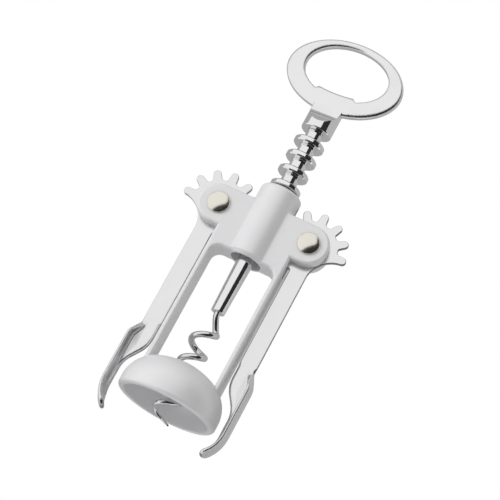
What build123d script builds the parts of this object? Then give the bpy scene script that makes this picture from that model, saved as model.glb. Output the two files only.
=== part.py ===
from build123d import *
import os
from math import cos, sin, radians, degrees, sqrt, atan2, tanh, pi

# Wing corkscrew, in millimetres. +Z runs up the worm's axis to the handle, +X to the
# right wing, and -Y is the front, where the rivets have their polished domes. The origin
# is the centre of the bell's rim, the face that sits on the bottle. The levers are down.

# --- bell ---
BELL_R = 21.35              # outside radius
BELL_WALL = 2.8
BELL_SHOULDER_Z = 4.0       # the wall is upright below this height
BELL_SHOULDER_R = 13.7      # outline's round above the upright wall
BELL_CROWN_R = 30.0         # outline's round over the top
RIM_ROUND = 1.6             # outer edge of the rim
RIM_INNER_ROUND = 0.4
CROWN_HOLE_R = 6.6          # the worm passes here

# --- sleeve, wings and legs, one casting with the bell ---
SLEEVE_R = 8.95
SLEEVE_BOTTOM_Z = 69.2
SLEEVE_TOP_Z = 102.6
SLEEVE_TOP_ROUND = 1.8
BLEND_R = 2.0               # where the sleeve meets the wings' faces
BODY_DEPTH = 12.0           # wings and legs, front to back
BODY_ROUND = 1.2            # edges of wings, legs and window, and the sleeve's lower end
PIVOT_X = 20.3              # rivets' distance from the axis
PIVOT_Z = 85.3
LUG_R = 8.6                 # round end of each wing
LEG_INNER_X = 14.0
LEG_WIDTH = 2.5
WINDOW_CORNER_R = 4.0       # upper corners of the window between the legs

# --- gear and rack ---
RACK_PITCH = 7.3
GEAR_PITCH_R = 14.6
GEAR_TIP_R = 16.35
GEAR_ROOT_R = 11.95
GEAR_TEETH = 7
FIRST_TOOTH_ANGLE = 3.4     # outermost tooth, above the horizontal
TOOTH_TIP_R = 1.65
TOOTH_FLANK_ANGLE = 6.0
TOOTH_ROOT_ROUND = 1.0
RING_R = 6.64               # rings of the rack
RING_WIDTH = 2.5
RING_CHAMFER = 0.5
RACK_CORE_R = 3.6
RINGS_ABOVE = 6             # rings above the groove with the last tooth
RINGS_BELOW = 2

# --- handle ---
PLATE_T = 3.6
RING_X, RING_Z = 25.8, 17.2             # outer oval's half axes
RING_CENTRE_Z = 160.3
OPENING_X, OPENING_Z = 18.5, 12.2       # opening's half axes
OPENING_CENTRE_Z = 162.3
LIP_Z = 152.6               # top of the crown-cap lip in the opening
LIP_SAG = 0.6               # how much its top is hollowed
LIP_X = 7.9                 # half width of its top
LIP_FOOT_X = 11.2
PLATE_ROUND = 1.2           # outer edges of the ring
OPENING_ROUND = 0.9
HANDLE_TURN = -6.5          # the ring stands this far off the wings' plane
COLLAR_HEIGHT = 3.1
COLLAR_ROUND = 0.5
SLOPE_HEIGHT = 2.7          # slope above the collar
SLOPE_DEPTH = 1.9
NECK_HEIGHT = 7.5           # the neck thins to the plate over this height
ROD_R = 2.55

# --- spindle and worm ---
SPINDLE_LENGTH = 29.6
SPINDLE_R = 3.7             # at its top
SPINDLE_END_R = 2.95
SPINDLE_ROUND = 0.3
TENON_LENGTH = 9.0          # end of the rod, pressed into the spindle
WIRE_R = 1.3
WORM_R = 4.2                # helix of the wire's centre line
WORM_PITCH = 10.35
WORM_TURNS = 3.93           # below the lead-in
SHANK_LENGTH = 8.0          # straight end, pressed into the spindle
LEAD_IN = 9.1               # height over which the wire leaves the axis
LEAD_ANGLE = 45.0           # how far it turns meanwhile
POINT_TURNS = 0.75          # turns over which the wire thins to its point
POINT_R = 0.35
WORM_STEPS = 16             # points of the centre line in a turn

# --- levers ---
LEVER_T = 2.4
ARM_INNER_X = 17.6
ARM_OUTER_X = 25.1
HOLLOW_R = 11.4             # hollow that runs from the arm out along the first tooth
FLANGE_TOP_Z = 28.0         # the flange starts here and widens to its knee
FLANGE_X, KNEE_Z = 28.0, 21.5
KNEE_R = 6.0
FLANGE_DEPTH = 8.7          # from the lever's rear face
FLANGE_T = 2.3
FLANGE_LEAN = 0.9           # how far its outside leans in at the front
FLANGE_SLOPE = 5.0          # how much lower its front edge starts
FLANGE_ROUND = 0.5
BEND_R = 1.2                # outside of the bend
SWAY_TOP_Z, SWAY_END_Z = 23.0, 6.5      # the inner edge sways out past the bell here
BELL_SIDE_X = 23.95         # inner edge beside the bell
TOE_TOP_Z = 0.0             # the finger end curves in below
TOE_X, TOE_Z = 21.3, -12.0
TOE_WIDTH = 1.0

# --- rivets ---
RIVET_R = 2.5
DOME_R = 4.7
DOME_HEIGHT = 1.2           # crown of the head
DOME_EDGE = 0.8             # upright edge below it
DOME_ROUND = 0.6            # between the two

# --- clearances ---
RING_GAP = 0.08             # rings in the sleeve's bore
ROD_GAP = 0.05              # rod in the rack
END_GAP = 0.05              # rack between collar and spindle
PIVOT_GAP = 0.05            # lever on its rivet
SLOT_SIDE_GAP = 0.15        # lever in its slot
SLOT_TIP_GAP = 0.4          # round the teeth
SLOT_RISE = 13.7            # slot's height over the pivot, where it cuts the sleeve
PRESS_GAP = 0.01            # pieces pressed together

# --- worked out from the sizes above ---
FRONT = Plane.XZ            # its x is +X, its y is +Z, and it faces -Y
SIDES = {"left": -1, "right": 1}
LEG_OUTER_X = LEG_INNER_X + LEG_WIDTH
TOOTH_STEP = degrees(RACK_PITCH / GEAR_PITCH_R)
LAST_TOOTH_ANGLE = FIRST_TOOTH_ANGLE + (GEAR_TEETH - 1) * TOOTH_STEP
MESH_Z = PIVOT_Z + GEAR_PITCH_R * radians(180 - LAST_TOOTH_ANGLE)
RING_ZS = [MESH_Z + (k + 0.5) * RACK_PITCH for k in range(-RINGS_BELOW, RINGS_ABOVE)]
RACK_TOP_Z = RING_ZS[-1] + RACK_PITCH - RING_WIDTH / 2
RACK_BOTTOM_Z = RING_ZS[0] - RING_WIDTH / 2
COLLAR_Z = RACK_TOP_Z + END_GAP
SPINDLE_TOP_Z = RACK_BOTTOM_Z - END_GAP
SPINDLE_BOTTOM_Z = SPINDLE_TOP_Z - SPINDLE_LENGTH


def slab(sketch, depth):
    """A sketch of the front view, made this deep, half to the front and half to the rear."""
    return extrude(FRONT * sketch, depth / 2, both=True)


def turned(outline):
    """A face of radii and heights, turned about the axis."""
    return revolve(FRONT * outline, Axis.Z)


def dome_outline(wall):
    """Half section of the solid bell, this far inside its outer surface."""
    r, shoulder, crown = BELL_R - wall, BELL_SHOULDER_R - wall, BELL_CROWN_R - wall
    shoulder_x = r - shoulder
    crown_z = BELL_SHOULDER_Z - sqrt((crown - shoulder) ** 2 - shoulder_x**2)
    lean = atan2(BELL_SHOULDER_Z - crown_z, shoulder_x)

    def on_shoulder(angle):
        return (shoulder_x + shoulder * cos(angle), BELL_SHOULDER_Z + shoulder * sin(angle))

    def on_crown(angle):
        return (crown * cos(angle), crown_z + crown * sin(angle))

    line = Polyline((0, crown_z + crown), (0, 0), (r, 0), (r, BELL_SHOULDER_Z))
    line += ThreePointArc((r, BELL_SHOULDER_Z), on_shoulder(lean / 2), on_shoulder(lean))
    line += ThreePointArc(on_shoulder(lean), on_crown((lean + pi / 2) / 2), (0, crown_z + crown))
    return make_face(line)


def make_frame():
    """Bell, legs, wings and sleeve, with the bore, the levers' slots and the rivets' holes."""
    outline = Pos(0, PIVOT_Z) * Rectangle(2 * PIVOT_X, 2 * LUG_R)
    for side in SIDES.values():
        outline += Pos(side * PIVOT_X, PIVOT_Z) * Circle(LUG_R)
    upwards = (Align.CENTER, Align.MIN)
    legs_height = PIVOT_Z - BELL_SHOULDER_Z
    outline += Pos(0, BELL_SHOULDER_Z) * Rectangle(2 * LEG_OUTER_X, legs_height, align=upwards)
    window = Rectangle(2 * LEG_INNER_X, SLEEVE_BOTTOM_Z, align=upwards)
    window = fillet(window.vertices().group_by(Axis.Y)[-1], WINDOW_CORNER_R)
    plate = slab(outline - window, BODY_DEPTH)
    face_edges = plate.edges().group_by(Axis.Y)
    plate = fillet(face_edges[0] + face_edges[-1], BODY_ROUND)

    sleeve_height = SLEEVE_TOP_Z - SLEEVE_BOTTOM_Z
    sleeve = Pos(0, 0, SLEEVE_BOTTOM_Z) * Cylinder(
        SLEEVE_R, sleeve_height, align=(Align.CENTER, Align.CENTER, Align.MIN))
    sleeve = fillet(sleeve.edges().sort_by(Axis.Z)[-1], SLEEVE_TOP_ROUND)
    sleeve = chamfer(sleeve.edges().sort_by(Axis.Z)[0], BODY_ROUND)
    body = plate + sleeve
    corner_x = sqrt(SLEEVE_R**2 - (BODY_DEPTH / 2) ** 2)
    corners = [e for e in body.edges().filter_by(Axis.Z) if abs(abs(e.center().X) - corner_x) < 0.01]
    body = fillet(corners, BLEND_R)

    dome = turned(dome_outline(0))
    body += fillet(dome.edges().sort_by(Axis.Z)[0], RIM_ROUND)
    body -= turned(dome_outline(BELL_WALL))
    body -= Cylinder(CROWN_HOLE_R, SLEEVE_BOTTOM_Z)
    inner_r = BELL_R - BELL_WALL
    rim = [e for e in body.edges().group_by(Axis.Z)[0] if e.radius < inner_r + 0.01]
    body = fillet(rim, RIM_INNER_ROUND)
    bore_r = RING_R + RING_GAP
    body -= Pos(0, 0, SLEEVE_TOP_Z) * Cylinder(bore_r, 3 * sleeve_height)
    body -= make_slots()
    for side in SIDES.values():
        body -= at_pivot(side, Cylinder(RIVET_R + PRESS_GAP, 2 * BODY_DEPTH))
    return body


def make_slots():
    """The levers' slots, open to the bore and outwards."""
    room = GEAR_TIP_R + SLOT_TIP_GAP
    slots = Sketch()
    for side in SIDES.values():
        slots += Pos(side * PIVOT_X, PIVOT_Z) * Circle(room)
        slots += Pos(side * PIVOT_X / 2, PIVOT_Z) * Rectangle(
            PIVOT_X - RACK_CORE_R, SLOT_RISE, align=(Align.CENTER, Align.MIN))
        slots += Pos(side * (LEG_OUTER_X + room), PIVOT_Z) * Rectangle(2 * room, 2 * room)
    return slab(slots, LEVER_T + 2 * SLOT_SIDE_GAP)


def make_rivet():
    """A rivet on the axis of Z, its front dome at the bottom."""
    sphere_r = (DOME_R**2 + DOME_HEIGHT**2) / (2 * DOME_HEIGHT)
    half = BODY_DEPTH / 2
    line = Polyline((0, 0), (RIVET_R, 0), (RIVET_R, half), (DOME_R, half), (DOME_R, half + DOME_EDGE))
    apex = half + DOME_EDGE + DOME_HEIGHT
    middle = atan2(DOME_R, sphere_r - DOME_HEIGHT) / 2
    on_dome = (sphere_r * sin(middle), apex - sphere_r * (1 - cos(middle)))
    line += ThreePointArc((DOME_R, half + DOME_EDGE), on_dome, (0, apex))
    outline = make_face(line + Line((0, apex), (0, 0)))
    rim = outline.vertices().group_by(Axis.X)[-1].sort_by(Axis.Y)[-1]
    end = turned(fillet(rim, DOME_ROUND))
    return end + mirror(end, Plane.XY)


def gear_outline():
    """The toothed sector about the pivot, teeth upwards."""
    flank = radians(TOOTH_FLANK_ANGLE)
    tip_centre = GEAR_TIP_R - TOOTH_TIP_R
    tangent_x, tangent_y = tip_centre + TOOTH_TIP_R * sin(flank), TOOTH_TIP_R * cos(flank)
    foot_x = GEAR_ROOT_R - TOOTH_TIP_R
    foot_y = tangent_y + (tangent_x - foot_x) * sin(flank) / cos(flank)
    tooth = make_face(Polyline((foot_x, -foot_y), (tangent_x, -tangent_y), (tangent_x, tangent_y),
                               (foot_x, foot_y), close=True))
    tooth += Pos(tip_centre, 0) * Circle(TOOTH_TIP_R)
    gear = Sketch() + Circle(GEAR_ROOT_R)
    for k in range(GEAR_TEETH):
        gear += Rot(0, 0, FIRST_TOOTH_ANGLE + k * TOOTH_STEP) * tooth
    roots = [v for v in gear.vertices() if abs(Vector(v.X, v.Y).length - GEAR_ROOT_R) < 0.01]
    roots = [v for v in roots if v.Y > -TOOTH_TIP_R * 2]
    return fillet(roots, TOOTH_ROOT_ROUND)


def flange_line():
    """The lever's outer line, from the arm down round the flange's knee to the finger end."""
    line = FilletPolyline((ARM_OUTER_X, PIVOT_Z), (ARM_OUTER_X, FLANGE_TOP_Z), (FLANGE_X, KNEE_Z),
                          (FLANGE_X, TOE_TOP_Z), radius=KNEE_R)
    return Wire([*line.edges(), TangentArc((FLANGE_X, TOE_TOP_Z), outer_tip(), tangent=(0, -1))])


def outer_tip():
    return (TOE_X + TOE_WIDTH, TOE_Z)


def blade_outline():
    """The arm and its lower end, inside the lever's outer line."""
    inner_tip = (TOE_X, TOE_Z + TOE_WIDTH)
    line = Polyline((ARM_OUTER_X, PIVOT_Z), (ARM_INNER_X, PIVOT_Z), (ARM_INNER_X, SWAY_TOP_Z))
    line += Spline((ARM_INNER_X, SWAY_TOP_Z), (BELL_SIDE_X, SWAY_END_Z), tangents=[(0, -1), (0, -1)])
    line += Line((BELL_SIDE_X, SWAY_END_Z), (BELL_SIDE_X, TOE_TOP_Z))
    line += TangentArc((BELL_SIDE_X, TOE_TOP_Z), inner_tip, tangent=(0, -1))
    line += Line(inner_tip, outer_tip())
    return make_face(flange_line().edges() + line.edges())


def flange_core():
    """What the flange stands clear of: all that lies its thickness inside the outer line."""
    inside = Polyline((ARM_OUTER_X, PIVOT_Z), (0, PIVOT_Z), (0, TOE_Z), outer_tip())
    return offset(make_face(flange_line().edges() + inside.edges()), -FLANGE_T)


def flange_side():
    """Side view of the flange: its depth, and the slope at its upper end."""
    rear = LEVER_T / 2
    front = rear - FLANGE_DEPTH
    corners = Polyline((rear, FLANGE_TOP_Z), (front, FLANGE_TOP_Z - FLANGE_SLOPE), (front, TOE_Z),
                       (rear, TOE_Z), close=True)
    return make_face(corners)


def with_hollow(outline):
    """Fills in under the first tooth, then cuts the hollow that touches the arm and the tooth."""
    reach = GEAR_TIP_R - TOOTH_TIP_R
    tip_x = PIVOT_X + reach * cos(radians(FIRST_TOOTH_ANGLE))
    tip_z = PIVOT_Z + reach * sin(radians(FIRST_TOOTH_ANGLE))
    hollow_x = ARM_OUTER_X + HOLLOW_R
    hollow_z = tip_z - sqrt((HOLLOW_R + TOOTH_TIP_R) ** 2 - (hollow_x - tip_x) ** 2)
    outline += Pos(PIVOT_X, hollow_z) * Rectangle(tip_x - PIVOT_X, tip_z - hollow_z, align=Align.MIN)
    return outline - Pos(hollow_x, hollow_z) * Circle(HOLLOW_R)


def make_lever():
    """The right lever, hanging down."""
    outline = with_hollow(Pos(PIVOT_X, PIVOT_Z) * gear_outline() + blade_outline())
    plate = slab(outline, LEVER_T)
    plate -= at_pivot(1, Cylinder(RIVET_R + PIVOT_GAP, 2 * LEVER_T))

    rear = LEVER_T / 2
    lean = Vector(-FLANGE_LEAN, -FLANGE_DEPTH, 0)
    flange = extrude(Pos(0, rear, 0) * (FRONT * blade_outline()), lean.length, dir=lean.normalized())
    flange -= slab(flange_core(), 3 * FLANGE_DEPTH)
    flange &= extrude(Plane.YZ * flange_side(), 2 * FLANGE_X)
    lever = plate + flange
    rear_edges = lever.edges().filter_by_position(Axis.Y, rear - 0.01, rear)
    bend = [e for e in rear_edges if e.center().Z < FLANGE_TOP_Z and e.center().X > FLANGE_X - FLANGE_T]
    lever = fillet(bend, BEND_R)
    front_edges = lever.edges().group_by(Axis.Y)[0]
    return fillet([e for e in front_edges if e.length > FLANGE_ROUND * 4], FLANGE_ROUND)


def make_rack():
    """The stem of rings, bored for the rod."""
    height = RACK_TOP_Z - RACK_BOTTOM_Z
    outline = Pos(0, RACK_BOTTOM_Z) * Rectangle(RACK_CORE_R, height, align=Align.MIN)
    ring = Rectangle(RING_R, RING_WIDTH, align=(Align.MIN, Align.CENTER))
    ring = chamfer(ring.vertices().group_by(Axis.X)[-1], RING_CHAMFER)
    for z in RING_ZS:
        outline += Pos(0, z) * ring
    bore = Pos(0, RACK_BOTTOM_Z) * Rectangle(ROD_R + ROD_GAP, height, align=Align.MIN)
    return turned(outline - bore)


def make_handle():
    """Ring with its lip, neck and collar, and the rod that the rack turns on."""
    ring = Pos(0, RING_CENTRE_Z) * Ellipse(RING_X, RING_Z)
    opening = Pos(0, OPENING_CENTRE_Z) * Ellipse(OPENING_X, OPENING_Z)
    foot_z = OPENING_CENTRE_Z - OPENING_Z - LIP_SAG
    lip = Polyline((-LIP_X, LIP_Z), (-LIP_FOOT_X, foot_z), (LIP_FOOT_X, foot_z), (LIP_X, LIP_Z))
    lip += ThreePointArc((LIP_X, LIP_Z), (0, LIP_Z - LIP_SAG), (-LIP_X, LIP_Z))
    opening -= make_face(lip)
    plate = slab(ring, PLATE_T)
    face_edges = plate.edges().group_by(Axis.Y)
    plate = fillet(face_edges[0] + face_edges[-1], PLATE_ROUND)
    plate -= slab(opening, 2 * PLATE_T)
    long_edges = [e for e in plate.edges() if e.length > RING_X]
    inside = [e for e in long_edges if e.bounding_box().max.X < OPENING_X + 0.01]
    plate = fillet(inside, OPENING_ROUND)

    neck_height = OPENING_CENTRE_Z - OPENING_Z - COLLAR_Z
    neck = turned(Pos(0, COLLAR_Z) * Rectangle(RING_R, neck_height, align=Align.MIN))
    neck = fillet(neck.edges().sort_by(Axis.Z)[0], COLLAR_ROUND)
    neck &= extrude(Plane.YZ * neck_side(), RING_R, both=True)
    rod_end_z = SPINDLE_TOP_Z - TENON_LENGTH
    rod = Pos(0, 0, rod_end_z) * Cylinder(
        ROD_R, COLLAR_Z - rod_end_z, align=(Align.CENTER, Align.CENTER, Align.MIN))
    return Rot(0, 0, HANDLE_TURN) * (plate + neck + rod)


def neck_side():
    """Side view of the neck: full at the collar, then a slope, then hollowed down to the plate."""
    top_z = OPENING_CENTRE_Z - OPENING_Z
    slope_z = COLLAR_Z + COLLAR_HEIGHT
    waist_z = slope_z + SLOPE_HEIGHT
    waist_y = RING_R - SLOPE_DEPTH
    half = PLATE_T / 2
    line = Polyline((0, COLLAR_Z), (RING_R, COLLAR_Z), (RING_R, slope_z), (waist_y, waist_z))
    line += TangentArc((half, waist_z + NECK_HEIGHT), (waist_y, waist_z), tangent=(0, -1))
    line += Polyline((half, waist_z + NECK_HEIGHT), (half, top_z), (0, top_z), (0, COLLAR_Z))
    outline = make_face(line)
    return outline + mirror(outline, Plane.YZ)


def make_spindle():
    line = Polyline((0, SPINDLE_TOP_Z), (0, SPINDLE_BOTTOM_Z), (SPINDLE_END_R, SPINDLE_BOTTOM_Z),
                    (SPINDLE_R, SPINDLE_TOP_Z), close=True)
    spindle = turned(make_face(line))
    spindle = fillet(spindle.edges().sort_by(Axis.Z)[0], SPINDLE_ROUND)
    tenon_hole = Pos(0, 0, SPINDLE_TOP_Z) * Cylinder(ROD_R + PRESS_GAP, 2 * TENON_LENGTH)
    shank_hole = Pos(0, 0, SPINDLE_BOTTOM_Z) * Cylinder(WIRE_R + PRESS_GAP, 2 * SHANK_LENGTH)
    return spindle - tenon_hole - shank_hole


def worm_at(depth):
    """A point of the wire's centre line, this far below the spindle's lower end."""
    share = min(max(depth / LEAD_IN, 0), 1)
    radius = WORM_R * share**2 * (3 - 2 * share)
    angle = 2 * pi * (LEAD_IN - depth) / WORM_PITCH
    if angle > 0:
        angle = radians(LEAD_ANGLE) * tanh(angle / radians(LEAD_ANGLE))
    return (radius * cos(angle), radius * sin(angle), SPINDLE_BOTTOM_Z - depth)


def worm_line(start, end):
    """The wire's centre line between two depths."""
    steps = round(WORM_STEPS * (end - start) / WORM_PITCH)
    return Spline(*[worm_at(start + (end - start) * k / steps) for k in range(steps + 1)])


def make_worm():
    """Straight shank, lead-in and helix, and the point that the wire thins to."""
    tip = LEAD_IN + WORM_TURNS * WORM_PITCH
    taper = tip - POINT_TURNS * WORM_PITCH
    upper, lower = worm_line(-SHANK_LENGTH, taper), worm_line(taper, tip)
    body = sweep(Plane(upper @ 0, z_dir=upper % 0) * Circle(WIRE_R), upper)
    full = Plane(lower @ 0, z_dir=upper % 1) * Circle(WIRE_R)
    sharp = Plane(lower @ 1, z_dir=lower % 1) * Circle(POINT_R)
    return body + sweep([full, sharp], lower, multisection=True)


def at_pivot(side, part):
    """A piece modelled about the Z axis, laid front to back through a wing's pivot."""
    return Pos(side * PIVOT_X, 0, PIVOT_Z) * Rot(90, 0, 0) * part


def make_parts():
    lever = make_lever()
    parts = {"frame_casting": make_frame(), "rack": make_rack(), "handle": make_handle(),
             "spindle": make_spindle(), "worm": make_worm()}
    for name, side in SIDES.items():
        parts["rivet_" + name] = at_pivot(side, make_rivet())
        parts["lever_" + name] = lever if side > 0 else mirror(lever, Plane.YZ)
    return parts


if __name__ == "__main__":
    os.makedirs("parts", exist_ok=True)
    for node, part in make_parts().items():
        export_step(part, "parts/" + node + ".step")
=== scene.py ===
"""Finishes and studio for the wing corkscrew. Every size is in metres, in the part's own frame."""

from math import copysign, cos, radians, sin, sqrt

import bpy
from mathutils import Matrix, Vector


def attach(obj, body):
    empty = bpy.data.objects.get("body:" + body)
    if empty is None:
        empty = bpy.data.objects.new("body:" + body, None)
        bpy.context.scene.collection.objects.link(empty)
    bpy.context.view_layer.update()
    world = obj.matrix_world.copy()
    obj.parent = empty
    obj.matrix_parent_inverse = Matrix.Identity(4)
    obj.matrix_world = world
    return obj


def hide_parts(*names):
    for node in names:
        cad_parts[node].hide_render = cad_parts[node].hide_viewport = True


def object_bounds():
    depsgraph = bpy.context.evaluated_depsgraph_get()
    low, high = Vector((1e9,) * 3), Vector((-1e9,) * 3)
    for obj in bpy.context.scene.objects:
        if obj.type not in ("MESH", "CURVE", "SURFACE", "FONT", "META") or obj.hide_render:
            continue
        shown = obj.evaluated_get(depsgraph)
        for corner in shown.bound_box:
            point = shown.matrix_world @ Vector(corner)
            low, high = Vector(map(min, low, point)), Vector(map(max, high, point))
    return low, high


bl_info = {
    "name": "Wing corkscrew",
    "version": (1, 0, 0),
    "blender": (4, 5, 0),
    "location": "3D View > Sidebar > Corkscrew",
    "description": "Finishes the pieces of a wing corkscrew and sets its studio",
    "category": "Object",
}

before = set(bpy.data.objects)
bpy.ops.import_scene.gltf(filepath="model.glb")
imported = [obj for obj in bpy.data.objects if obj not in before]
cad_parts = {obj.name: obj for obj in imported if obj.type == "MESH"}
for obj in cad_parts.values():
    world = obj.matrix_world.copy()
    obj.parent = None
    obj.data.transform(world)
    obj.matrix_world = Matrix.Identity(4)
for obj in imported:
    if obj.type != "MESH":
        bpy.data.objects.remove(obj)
CAD_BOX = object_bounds()
MIDDLE = (Vector(CAD_BOX[0]) + Vector(CAD_BOX[1])) / 2
MM = 0.001

# The levers' sizes, as their solids have them. The curve's are right to 0.02 mm.
LEVER_T = 2.4 * MM
FLANGE_DEPTH = 8.7 * MM             # from the lever's rear face
TOE_END = -12.0 * MM                # lowest point of the finger end
TOE_CENTRE_X = 12.5 * MM            # centre of the finger end's outer curve, at the height of the rim
TOE_R = 15.5 * MM

# How the levers are reshaped.
SLOPE_END = 14.0 * MM               # from the flange's top down to here the slope fades out
TOE_RUN = -5.0 * MM                 # from here down the rounding of the finger end grows
SMOOTHING = 0.5                     # factor of one round of smoothing

# Limits of the masks.
# A lever's walls are where its painted shade goes.
WALL_NORMAL = 0.5                       # a lever's walls have normals less than this far along Y
# The edge masks below set where the painted dark lines along the edges begin and are full.
EDGE_START, EDGE_FULL = 0.99, 0.75      # agreement of the rounded and the flat normal at an edge
PATCH_START, PATCH_FULL = 0.5, 0.75     # noise in a handled patch of the chrome

BEVEL_SAMPLES = 12

# The camera's sensor in mm, and the nearest and farthest distance that it sees.
SENSOR = 36.0
NEAR, FAR = 0.01, 20.0


# ---------------------------------------------------------------- shader maths

class Socket:
    """A shader output that takes part in Python expressions."""

    def __init__(self, graph, socket):
        self.graph = graph
        self.socket = socket

    def maths(self, operation, first, second):
        return self.graph.node("ShaderNodeMath", {"operation": operation}, {0: first, 1: second})

    def __add__(self, other):
        return self.maths("ADD", self, other)

    def __radd__(self, other):
        return self.maths("ADD", other, self)

    def __sub__(self, other):
        return self.maths("SUBTRACT", self, other)

    def __rsub__(self, other):
        return self.maths("SUBTRACT", other, self)

    def __mul__(self, other):
        return self.maths("MULTIPLY", self, other)

    def __rmul__(self, other):
        return self.maths("MULTIPLY", other, self)

    def __lt__(self, other):
        return self.maths("LESS_THAN", self, other)

    def __gt__(self, other):
        return self.maths("GREATER_THAN", self, other)

    def __abs__(self):
        return self.graph.node("ShaderNodeMath", {"operation": "ABSOLUTE"}, {0: self})


class Graph:
    """A node tree that is filled by one method."""

    def __init__(self, tree):
        self.tree = tree
        self.tree.nodes.clear()

    def node(self, kind, settings=None, values=None, output=0):
        """Adds a node, makes its settings, then gives its sockets their values or links."""
        node = self.tree.nodes.new(kind)
        for name, value in (settings or {}).items():
            setattr(node, name, value)
        for name, value in (values or {}).items():
            if isinstance(value, Socket):
                self.tree.links.new(value.socket, node.inputs[name])
            else:
                node.inputs[name].default_value = value
        return Socket(self, node.outputs[output]) if node.outputs else None

    def part(self, source, axis):
        """One part of the place or normal in the piece's own frame, whatever its pose."""
        vector = self.node("ShaderNodeTexCoord", output=source)
        return self.node("ShaderNodeSeparateXYZ", values={"Vector": vector}, output=axis)

    def noise(self, size, detail=2.0, roughness=0.5):
        """Noise from 0 to 1 with grains of about this size."""
        place = self.node("ShaderNodeTexCoord", output="Object")
        values = {"Vector": place, "Scale": 1 / size, "Detail": detail, "Roughness": roughness}
        return self.node("ShaderNodeTexNoise", values=values, output=0)

    def mix(self, amount, first, second):
        """One colour turning into another."""
        colours = {"data_type": "RGBA", "clamp_factor": True}
        return self.node("ShaderNodeMix", colours, {0: amount, 6: first, 7: second}, output=2)

    def bump(self, height, depth, normal=None):
        """A normal from a height of 0 to 1 that stands for this depth, on top of another normal."""
        values = {"Strength": 1.0, "Distance": depth, "Height": height}
        if normal:
            values["Normal"] = normal
        return self.node("ShaderNodeBump", values=values)

    def rounded(self, radius):
        """The normal that edges would have if they were rounded by this radius."""
        return self.node("ShaderNodeBevel", {"samples": BEVEL_SAMPLES}, {"Radius": radius})

    def edges(self, rounded):
        """From 0 on the faces to 1 at the sharp edges of a rounded normal."""
        flat = self.node("ShaderNodeNewGeometry", output="Normal")
        dot = {"operation": "DOT_PRODUCT"}
        along = self.node("ShaderNodeVectorMath", dot, {0: rounded, 1: flat}, "Value")
        return self.node("ShaderNodeMapRange", values={
            "Value": along, "From Min": EDGE_START, "From Max": EDGE_FULL})


def paint(colour, share=1.0):
    """A colour for a socket, dimmed to a share of its brightness."""
    return (*[share * part for part in colour], 1)


def new_material(name):
    material = bpy.data.materials.new(name)
    material.use_nodes = True
    return material, Graph(material.node_tree)


def principled(graph, values):
    """Ends a material in one Principled shader."""
    shader = graph.node("ShaderNodeBsdfPrincipled", values=values)
    graph.node("ShaderNodeOutputMaterial", values={"Surface": shader})


def dress(pieces, material):
    """Gives the pieces this one material."""
    for piece in pieces:
        piece.data.materials.clear()
        piece.data.materials.append(material)


def nodes(*names):
    return [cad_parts[name] for name in names]


def worked(piece, kind, settings):
    """Gives a piece a modifier and keeps the result as its mesh."""
    modifier = piece.modifiers.new(kind, kind)
    for name, value in settings.items():
        setattr(modifier, name, value)
    result = piece.evaluated_get(bpy.context.evaluated_depsgraph_get())
    mesh = bpy.data.meshes.new_from_object(result)
    piece.modifiers.clear()
    piece.data = mesh


# ---------------------------------------------------------------- sizes and colours

def colour_property(name, description, default):
    return bpy.props.FloatVectorProperty(
        name=name, description=description, default=default, subtype="COLOR", size=3, min=0.0, max=1.0)


def length_property(name, description, default):
    return bpy.props.FloatProperty(
        name=name, description=description, default=default, unit="LENGTH", min=0.0, precision=5)


def share_property(name, description, default):
    return bpy.props.FloatProperty(
        name=name, description=description, default=default, subtype="FACTOR", min=0.0, max=1.0)


def angle_property(name, description, degrees):
    return bpy.props.FloatProperty(
        name=name, description=description, default=radians(degrees), unit="ROTATION")


class CastingLook(bpy.types.PropertyGroup):
    colour: colour_property("Colour", "Pearl paint of the body and bell", (0.79, 0.79, 0.795))
    shade: colour_property("Shade", "Paint where the coat is thin", (0.75, 0.75, 0.765))
    cloud: length_property("Cloud", "Width of the patches where the coat is thin", 12 * MM)
    roughness: share_property("Roughness", "How far the paint spreads a reflection", 0.38)
    spread: share_property("Spread", "Range of the roughness over the grain", 0.08)
    metal: share_property("Metal", "Share of metal flake in the paint", 0.15)
    peel: length_property("Peel", "Width of the paint's ripples", 1.6 * MM)
    peel_depth: length_property("Peel depth", "Depth of the paint's ripples", 0.010 * MM)
    grain: length_property("Grain", "Width of the paint's grain", 0.22 * MM)
    grain_depth: length_property("Grain depth", "Depth of the paint's grain", 0.003 * MM)


class ChromeLook(bpy.types.PropertyGroup):
    colour: colour_property("Colour", "Bright plating", (0.80, 0.80, 0.805))
    worn: share_property("Worn", "Brightness of the handled patches", 0.96)
    # Edge: a dark colour painted along the plating's sharp edges, a painted reflection of the dark card that
    # rounded edges would mirror.
    edge: colour_property("Edge", "Plating along the edges", (0.25, 0.25, 0.255))
    roughness: share_property("Roughness", "Roughness where the plating is clean", 0.06)
    smear: share_property("Smear", "Roughness that handling adds in patches", 0.09)
    patch: length_property("Patch", "Width of the handled patches", 9 * MM)
    line_width: length_property("Line width", "Width of the darker line along an edge", 0.35 * MM)
    ring_foot: length_property("Ring foot", "Height where the handle's ring starts", 145 * MM)
    ring_edge: length_property(
        "Ring edge", "How far the polish rounds over the edges of the handle's ring", 2.2 * MM)
    rack_edge: length_property(
        "Rack edge", "How far the polish rounds over the other edges", 0.4 * MM)
    wave: length_property("Wave", "Width of the polish's waves", 5 * MM)
    wave_depth: length_property("Wave depth", "Depth of the polish's waves", 0.012 * MM)


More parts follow.
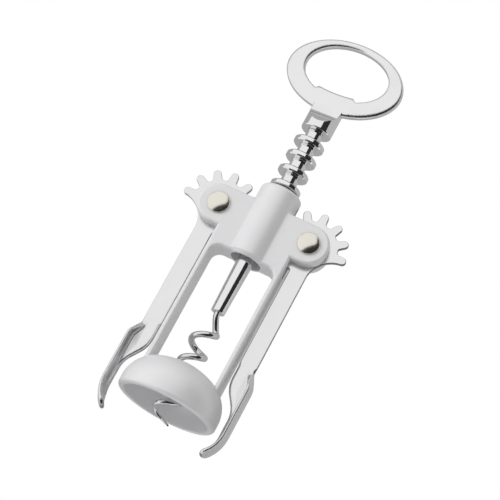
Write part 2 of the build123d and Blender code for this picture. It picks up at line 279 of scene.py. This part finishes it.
class LeverLook(bpy.types.PropertyGroup):
    colour: colour_property("Colour", "Tumbled plating of the levers", (0.80, 0.80, 0.805))
    cloud: length_property("Cloud", "Width of the duller patches", 8 * MM)
    dull: share_property("Dull", "Brightness of the duller patches", 0.95)
    # Edge and its width: near-black painted along the stamped edges, a painted dark reflection.
    edge: colour_property("Edge", "Burnished plating along the stamped edges", (0.08, 0.08, 0.085))
    edge_width: length_property("Edge width", "Width of the burnished edges", 0.5 * MM)
    # The colour below is painted shade: it darkens the lever's side walls.
    painted_wall_shade: colour_property("Sheared", "Walls that the stamping sheared", (0.34, 0.34, 0.35))
    flange_top: length_property("Flange top", "Height under which a lever counts as its flange", 28.3 * MM)
    bend_x: length_property("Bend", "Distance of the bent flange from the axis", 22.4 * MM)
    voxel: length_property("Voxel", "Width of the cells that the levers are remade with", 0.25 * MM)
    run_in: length_property("Run-in", "Height over which the rolling of the edges begins", 2.0 * MM)
    slope_rise: length_property("Slope rise", "How much higher the flange starts at the plate", 0.8 * MM)
    slope_drop: length_property("Slope drop", "How much lower its front edge starts", 1.8 * MM)
    toe_round: length_property("Toe round", "Round of the finger end's corners", 3.8 * MM)
    rolling: bpy.props.IntProperty(
        name="Rolling", description="Rounds of smoothing of the flange", default=90, min=0)
    roughness: share_property("Roughness", "How far the tumbled faces spread a reflection", 0.20)
    spread: share_property("Spread", "Range of the roughness over the grain", 0.10)
    satin: share_property(
        "Satin", "Roughness added on the flange, where it hides the remade mesh's unevenness", 0.14)
    grain: length_property("Grain", "Width of the tumbling marks", 0.45 * MM)
    grain_depth: length_property("Grain depth", "Depth of the tumbling marks", 0.006 * MM)
    fade: share_property("Fade", "How much weaker the tumbling marks are on the flange", 0.85)


class RivetLook(bpy.types.PropertyGroup):
    colour: colour_property("Colour", "Warm nickel of the rivets", (0.80, 0.77, 0.69))
    # Edge: darker nickel painted round the foot of each dome, as painted shade in the crease.
    edge: colour_property("Edge", "Nickel at the foot of the domes", (0.30, 0.29, 0.26))
    edge_width: length_property("Edge width", "Width of the darker foot", 0.6 * MM)
    tarnish: length_property("Tarnish", "Width of the tarnished patches", 3 * MM)
    dull: share_property("Dull", "Brightness of the tarnished patches", 0.93)
    roughness: share_property("Roughness", "Roughness of the domes", 0.16)
    spread: share_property("Spread", "Roughness that the tarnish adds", 0.06)
    dent: length_property("Dent", "Width of the hammer's marks", 0.8 * MM)
    dent_depth: length_property("Dent depth", "Depth of the hammer's marks", 0.004 * MM)


class WormLook(bpy.types.PropertyGroup):
    colour: colour_property("Colour", "Plated steel wire", (0.72, 0.72, 0.73))
    roughness: share_property("Roughness", "Roughness of the wire", 0.10)
    spread: share_property("Spread", "Roughness that the marks add", 0.08)
    draw: length_property("Draw marks", "Width of the marks on the wire", 0.3 * MM)
    draw_depth: length_property("Draw depth", "Depth of the marks on the wire", 0.003 * MM)
    dull: share_property("Dull", "Brightness of the marks", 0.92)


class Studio(bpy.types.PropertyGroup):
    floor_z: length_property("Floor", "How far the floor lies under the rim", 0.21)
    floor_size: length_property("Floor size", "Width of the floor", 6.0)
    paper: colour_property("Paper", "Pale paper of the floor", (0.86, 0.86, 0.86))
    paper_roughness: share_property("Paper roughness", "Roughness of the floor's paper", 0.9)
    fill: bpy.props.FloatProperty(
        name="Fill", description="Strength of the room's light", default=0.62, min=0.0)
    key_power: bpy.props.FloatProperty(
        name="Key power", description="Power of the key lamp", default=4.6, unit="POWER", min=0.0)
    key_size: length_property("Key size", "Width of the key lamp", 0.5)
    key_across: angle_property("Key across", "Key lamp's angle to the right of the camera's line", -65)
    key_up: angle_property("Key up", "Key lamp's angle above the camera's line", 45)
    key_distance: length_property("Key distance", "Distance of the key lamp from the object", 1.0)
    card_distance: length_property("Card distance", "Distance of the cards from the object", 1.5)
    dark_card: share_property("Dark card", "Brightness of the dark card", 0.03)
    side_card: share_property("Side card", "Brightness of the grey card at the right", 0.55)
    rear_card: share_property("Rear card", "Brightness of the grey screen behind", 0.45)
    azimuth: angle_property("Azimuth", "Camera's angle round the axis, to the right of the front", 11.502)
    elevation: angle_property("Elevation", "Camera's angle over the horizon", -18.688)
    roll: angle_property("Roll", "Camera's turn about its line of sight", 28.653)
    lens: bpy.props.FloatProperty(
        name="Lens", description="Focal length in mm on a 36 mm sensor", default=144.0)
    camera_place: bpy.props.FloatVectorProperty(
        name="Camera place", description="Camera's place", size=3, default=(0.1518, -0.7491, -0.1841),
        subtype="XYZ", unit="LENGTH")


# ---------------------------------------------------------------- finishes

class CORKSCREW_OT_casting(bpy.types.Operator):
    """Paints the body and bell"""

    bl_idname = "corkscrew.casting"
    bl_label = "Casting"

    def execute(self, context):
        look = context.scene.corkscrew_casting
        material, graph = new_material("pearl_paint")
        cloud = graph.noise(look.cloud, detail=3.0)
        peel = graph.noise(look.peel, detail=1.0)
        grain = graph.noise(look.grain)
        ripples = graph.bump(peel, look.peel_depth)
        principled(graph, {
            "Base Color": graph.mix(cloud, paint(look.colour), paint(look.shade)),
            "Metallic": look.metal,
            "Roughness": look.roughness - look.spread / 2 + look.spread * grain,
            "Normal": graph.bump(grain, look.grain_depth, ripples)})
        dress(nodes("frame_casting"), material)
        return {"FINISHED"}


class CORKSCREW_OT_chrome(bpy.types.Operator):
    """Plates the handle, rack and spindle"""

    bl_idname = "corkscrew.chrome"
    bl_label = "Chrome"

    def execute(self, context):
        look = context.scene.corkscrew_chrome
        material, graph = new_material("bright_chrome")
        patches = graph.node("ShaderNodeMapRange", values={
            "Value": graph.noise(look.patch, detail=4.0), "From Min": PATCH_START, "From Max": PATCH_FULL})
        waves = graph.noise(look.wave, detail=0.0)
        face = graph.mix(patches, paint(look.colour), paint(look.colour, look.worn))
        # Painted reflection: the plating is painted dark along its sharp edges, where rounded chrome would
        # mirror the dark card.
        painted_edge_lines = graph.edges(graph.rounded(look.line_width))
        ring = graph.part("Object", "Z") > look.ring_foot
        polish = graph.mix(ring, graph.rounded(look.rack_edge), graph.rounded(look.ring_edge))
        principled(graph, {
            "Base Color": graph.mix(painted_edge_lines, face, paint(look.edge)),
            "Metallic": 1.0,
            "Roughness": look.roughness + look.smear * patches,
            "Normal": graph.bump(waves, look.wave_depth, polish)})
        dress(nodes("handle", "rack", "spindle"), material)
        return {"FINISHED"}


class CORKSCREW_OT_levers(bpy.types.Operator):
    """Rolls the edges of the levers' flanges, and plates the levers"""

    bl_idname = "corkscrew.levers"
    bl_label = "Levers"

    def execute(self, context):
        look = context.scene.corkscrew_levers
        material, graph = new_material("tumbled_plating")
        grain = graph.noise(look.grain, detail=3.0, roughness=0.6)
        face = graph.mix(graph.noise(look.cloud), paint(look.colour), paint(look.colour, look.dull))
        # Painted shade: walls turned away from Y, except on the bent flange, take the dark wall colour.
        walls = abs(graph.part("Normal", "Y")) < WALL_NORMAL
        low = graph.part("Object", "Z") < look.flange_top
        bent = low * (abs(graph.part("Object", "X")) > look.bend_x)
        face = graph.mix(walls * (1 - bent), face, paint(look.painted_wall_shade))
        flange = bent * (graph.part("Object", "Y") < -LEVER_T / 2)
        # Painted reflection: the stamped edges outside the flange are painted near-black.
        painted_edge_lines = graph.edges(graph.rounded(look.edge_width)) * (1 - flange)
        principled(graph, {
            "Base Color": graph.mix(painted_edge_lines, face, paint(look.edge)),
            "Metallic": 1.0,
            "Roughness": look.roughness - look.spread / 2 + look.spread * grain + look.satin * flange,
            "Normal": graph.bump(grain * (1 - look.fade * flange), look.grain_depth)})
        dress([self.rolled(name, look) for name in ("lever_left", "lever_right")], material)
        return {"FINISHED"}

    def slope(self, place, look):
        """How far the flange's upper end is drawn up at the plate and down at its front edge."""
        plate_front, front = -LEVER_T / 2, LEVER_T / 2 - FLANGE_DEPTH
        if place.y > plate_front or place.z > look.flange_top:
            return 0.0
        depth = (place.y - plate_front) / (front - plate_front)
        share = max(0.0, min(1.0, (place.z - SLOPE_END) / (look.flange_top - SLOPE_END)))
        return (look.slope_rise - (look.slope_rise + look.slope_drop) * depth) * share

    def round_toe(self, place, look):
        """Draws the corners of the finger end up along its curve."""
        half = FLANGE_DEPTH / 2
        off_middle = abs(place.y - (LEVER_T / 2 - half))
        over = off_middle - (half - look.toe_round)
        share = max(0.0, min(1.0, (TOE_RUN - place.z) / (TOE_RUN - TOE_END)))
        if over <= 0 or share == 0:
            return
        lift = look.toe_round - sqrt(max(0.0, look.toe_round ** 2 - over ** 2))
        turn = share * lift / TOE_R
        across = abs(place.x) - TOE_CENTRE_X
        drawn = across * cos(turn) - place.z * sin(turn)
        place.z = place.z * cos(turn) + across * sin(turn)
        place.x = copysign(TOE_CENTRE_X + drawn, place.x)

    def rolled(self, node, look):
        """A lever whose flange has the rolled edges, round tips and soft bend of a stamped blank."""
        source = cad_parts[node]
        piece = bpy.data.objects.new("plated_" + node, source.data.copy())
        bpy.context.collection.objects.link(piece)
        worked(piece, "REMESH", {"mode": "VOXEL", "voxel_size": look.voxel, "use_smooth_shade": True})
        group = piece.vertex_groups.new(name="flange")
        for vertex in piece.data.vertices:
            vertex.co.z += self.slope(vertex.co, look)
            self.round_toe(vertex.co, look)
            share = (look.flange_top + look.run_in - vertex.co.z) / look.run_in
            if share > 0:
                group.add([vertex.index], min(share, 1.0), "REPLACE")
        worked(piece, "SMOOTH", {"factor": SMOOTHING, "iterations": look.rolling, "vertex_group": group.name})
        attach(piece, node)
        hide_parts(node)
        return piece


class CORKSCREW_OT_rivets(bpy.types.Operator):
    """Polishes the rivets"""

    bl_idname = "corkscrew.rivets"
    bl_label = "Rivets"

    def execute(self, context):
        look = context.scene.corkscrew_rivets
        material, graph = new_material("warm_nickel")
        tarnish = graph.noise(look.tarnish, detail=4.0)
        face = graph.mix(tarnish, paint(look.colour), paint(look.colour, look.dull))
        # Painted shade: the domes' edges, at their foot, are painted darker.
        foot = graph.edges(graph.rounded(look.edge_width))
        principled(graph, {
            "Base Color": graph.mix(foot, face, paint(look.edge)),
            "Metallic": 1.0,
            "Roughness": look.roughness + look.spread * tarnish,
            "Normal": graph.bump(graph.noise(look.dent), look.dent_depth)})
        dress(nodes("rivet_left", "rivet_right"), material)
        return {"FINISHED"}


class CORKSCREW_OT_worm(bpy.types.Operator):
    """Plates the worm's wire"""

    bl_idname = "corkscrew.worm"
    bl_label = "Worm"

    def execute(self, context):
        look = context.scene.corkscrew_worm
        material, graph = new_material("plated_wire")
        marks = graph.noise(look.draw, detail=3.0)
        principled(graph, {
            "Base Color": graph.mix(marks, paint(look.colour), paint(look.colour, look.dull)),
            "Metallic": 1.0,
            "Roughness": look.roughness + look.spread * marks,
            "Normal": graph.bump(marks, look.draw_depth)})
        dress(nodes("worm"), material)
        return {"FINISHED"}


# ---------------------------------------------------------------- stage

def plain_material(name, colour, roughness):
    material, graph = new_material(name)
    principled(graph, {"Base Color": paint(colour), "Roughness": roughness})
    return material


def grid_faces(rows):
    """The faces of a grid whose points are counted row by row."""
    width = len(rows[0])
    return [(row * width + k, row * width + k + 1, (row + 1) * width + k + 1, (row + 1) * width + k)
            for row in range(len(rows) - 1) for k in range(width - 1)]


def sheet(name, corners, material, faces):
    """A stage piece from its corners and faces."""
    mesh = bpy.data.meshes.new(name)
    mesh.from_pydata(corners, [], faces)
    piece = bpy.data.objects.new(name, mesh)
    bpy.context.collection.objects.link(piece)
    mesh.materials.append(material)
    return piece


def lamp(name, place, target, power, size):
    """A soft square lamp that looks at a point."""
    light = bpy.data.lights.new(name, "AREA")
    light.energy = power
    light.size = size
    piece = bpy.data.objects.new(name, light)
    piece.location = place
    piece.rotation_euler = (target - place).to_track_quat("-Z", "Y").to_euler()
    bpy.context.collection.objects.link(piece)
    return piece


# Corners of the cards, in degrees right of and above the line from the object to the camera.
DARK_CARD = [(-35, 0), (-10, 16), (12, 21), (32, 27), (48, 35), (62, 45), (72, 56), (74, 20), (76, -20),
             (60, -60), (-60, -60), (-60, -20)]
SIDE_CARD = [(76, 60), (150, 60), (150, -60), (78, -60)]
REAR_SCREEN = [[(across, up) for across in range(105, 256, 15)] for up in range(-75, 76, 15)]


class CORKSCREW_OT_stage(bpy.types.Operator):
    """Makes the floor, the cards, the lamp, the room's light and the camera"""

    bl_idname = "corkscrew.stage"
    bl_label = "Stage"

    def execute(self, context):
        studio = context.scene.corkscrew_studio
        half = studio.floor_size / 2
        z = -studio.floor_z
        paper = plain_material("floor_paper", studio.paper, studio.paper_roughness)
        corners = [(-half, -half, z), (half, -half, z), (half, half, z), (-half, half, z)]
        floor = sheet("floor", corners, paper, [range(len(corners))])
        floor.visible_glossy = False
        camera = self.add_camera(context.scene, studio)
        self.add_cards(camera, studio)
        self.add_lamp(camera, studio)
        self.add_room(context.scene, studio)
        context.scene.view_settings.view_transform = "Standard"
        return {"FINISHED"}

    def place(self, camera, across, up, distance):
        """A point at these angles to the right of and above the line from the object to the camera."""
        way = Vector((sin(across) * cos(up), sin(up), cos(across) * cos(up)))
        return MIDDLE + distance * (camera.matrix_world.to_3x3() @ way)

    def add_cards(self, camera, studio):
        """The cards that the bright rounds mirror: a dark one in front, grey ones at the right and behind."""
        cards = {
            "dark_card": (studio.dark_card, DARK_CARD, [range(len(DARK_CARD))]),
            "side_card": (studio.side_card, SIDE_CARD, [range(len(SIDE_CARD))]),
            "rear_card": (studio.rear_card, sum(REAR_SCREEN, []), grid_faces(REAR_SCREEN)),
        }
        for name, (level, corners, faces) in cards.items():
            material, graph = new_material(name)
            principled(graph, {"Base Color": (0, 0, 0, 1), "Specular IOR Level": 0.0,
                               "Emission Color": paint([level] * 3), "Emission Strength": 1.0})
            points = [self.place(camera, radians(across), radians(up), studio.card_distance)
                      for across, up in corners]
            card = sheet(name, points, material, faces)
            card.visible_camera = False
            card.visible_diffuse = False
            card.visible_shadow = False

    def add_lamp(self, camera, studio):
        """The key lamp, which the bright rounds don't mirror."""
        place = self.place(camera, studio.key_across, studio.key_up, studio.key_distance)
        key = lamp("key_lamp", place, MIDDLE, studio.key_power, studio.key_size)
        key.visible_glossy = False

    def add_room(self, scene, studio):
        """A white room to the eye and to reflections, and a softer one as a light."""
        world = bpy.data.worlds.new("room")
        world.use_nodes = True
        scene.world = world
        graph = Graph(world.node_tree)
        rays = {name: graph.node("ShaderNodeLightPath", output=name)
                for name in ("Is Camera Ray", "Is Glossy Ray", "Is Transmission Ray")}
        seen = graph.node("ShaderNodeClamp", values={
            "Value": rays["Is Camera Ray"] + rays["Is Glossy Ray"] + rays["Is Transmission Ray"]})
        strength = studio.fill + (1 - studio.fill) * seen
        room = graph.node("ShaderNodeBackground", values={"Color": (1, 1, 1, 1), "Strength": strength})
        graph.node("ShaderNodeOutputWorld", values={"Surface": room})

    def add_camera(self, scene, studio):
        camera = bpy.data.cameras.new("camera")
        camera.lens = studio.lens
        camera.sensor_width = SENSOR
        camera.clip_start = NEAR
        camera.clip_end = FAR
        piece = bpy.data.objects.new("camera", camera)
        turn = Matrix.Rotation(studio.azimuth, 4, "Z")
        tilt = Matrix.Rotation(radians(90) - studio.elevation, 4, "X")
        roll = Matrix.Rotation(studio.roll, 4, "Z")
        piece.matrix_world = Matrix.Translation(studio.camera_place) @ turn @ tilt @ roll
        bpy.context.collection.objects.link(piece)
        scene.camera = piece
        bpy.context.view_layer.update()
        return piece


# ---------------------------------------------------------------- panel and registration

OPERATORS = (CORKSCREW_OT_casting, CORKSCREW_OT_chrome, CORKSCREW_OT_levers, CORKSCREW_OT_rivets,
             CORKSCREW_OT_worm, CORKSCREW_OT_stage)
GROUPS = {"corkscrew_casting": CastingLook, "corkscrew_chrome": ChromeLook, "corkscrew_levers": LeverLook,
          "corkscrew_rivets": RivetLook, "corkscrew_worm": WormLook, "corkscrew_studio": Studio}


class CORKSCREW_PT_panel(bpy.types.Panel):
    """Lists the steps that finish the corkscrew"""

    bl_idname = "CORKSCREW_PT_panel"
    bl_label = "Wing corkscrew"
    bl_space_type = "VIEW_3D"
    bl_region_type = "UI"
    bl_category = "Corkscrew"

    def draw(self, context):
        for operator in OPERATORS:
            self.layout.operator(operator.bl_idname)


def register():
    for cls in (*GROUPS.values(), *OPERATORS, CORKSCREW_PT_panel):
        bpy.utils.register_class(cls)
    for name, group in GROUPS.items():
        setattr(bpy.types.Scene, name, bpy.props.PointerProperty(type=group))


def unregister():
    for name in GROUPS:
        delattr(bpy.types.Scene, name)
    for cls in reversed((*GROUPS.values(), *OPERATORS, CORKSCREW_PT_panel)):
        bpy.utils.unregister_class(cls)


def main():
    """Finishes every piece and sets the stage."""
    register()
    bpy.ops.corkscrew.casting()
    bpy.ops.corkscrew.chrome()
    bpy.ops.corkscrew.levers()
    bpy.ops.corkscrew.rivets()
    bpy.ops.corkscrew.worm()
    bpy.ops.corkscrew.stage()


if __name__ == "__main__":
    main()
